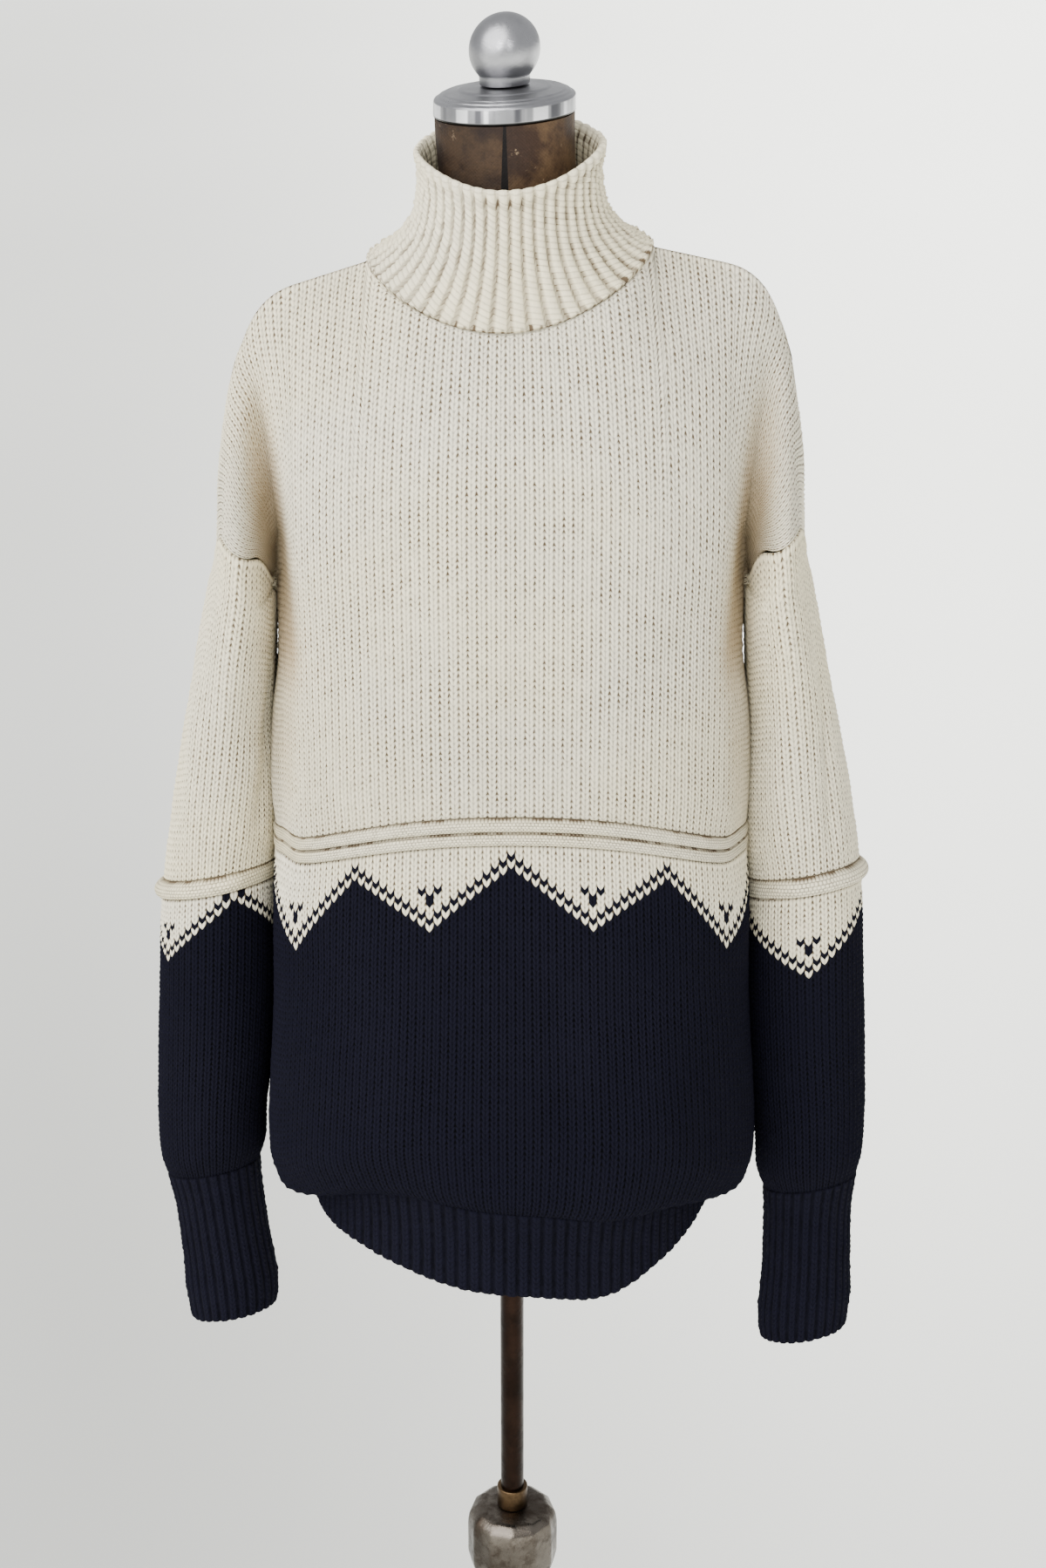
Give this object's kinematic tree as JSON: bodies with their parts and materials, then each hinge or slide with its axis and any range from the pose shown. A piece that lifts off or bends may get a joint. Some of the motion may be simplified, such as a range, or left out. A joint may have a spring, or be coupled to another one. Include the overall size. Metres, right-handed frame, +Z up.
{
  "type": "knitted turtleneck sweater on dress form",
  "caption": "Chunky ivory turtleneck sweater with a navy zigzag border, rolled welts and ribbed cuffs, standing on a limbless dress form with a pole stand.",
  "frame": {"origin": "middle of the round base's underside, on the floor below the pole", "axes": "+Z up along the pole, +X to the viewer's right, the garment's front faces -Y"},
  "size_m": [0.567, 0.4, 1.5913],
  "materials": {
    "ivory_wool": "thick ivory wool stocking stitch and rib, matt with a soft nap",
    "navy_wool": "thick navy wool stocking stitch and rib with an ivory zigzag, matt",
    "worn_linen": "brown linen over a stiff form, worn and scuffed",
    "satin_aluminium": "satin turned aluminium",
    "bronzed_steel": "dark bronzed steel tube",
    "old_brass": "worn brass",
    "nickel": "worn nickel plate with brown patina",
    "painted_iron": "black paint, satin"
  },
  "bodies": {
    "root": {"front_panel": "ivory_wool", "back_panel": "ivory_wool", "front_lower": "navy_wool", "back_lower": "navy_wool", "body_welt": "ivory_wool", "hem_rib": "navy_wool", "collar": "ivory_wool", "sleeve_left": "ivory_wool", "sleeve_right": "ivory_wool", "sleeve_left_welt": "ivory_wool", "sleeve_right_welt": "ivory_wool", "sleeve_left_lower": "navy_wool", "sleeve_right_lower": "navy_wool", "cuff_left": "navy_wool", "cuff_right": "navy_wool", "form_torso": "worn_linen", "neck_cap": "satin_aluminium", "cap_finial": "satin_aluminium", "pole": "bronzed_steel", "pole_ferrule": "old_brass", "hub": "nickel", "column": "painted_iron", "base": "painted_iron"}
  },
  "joints": []
}
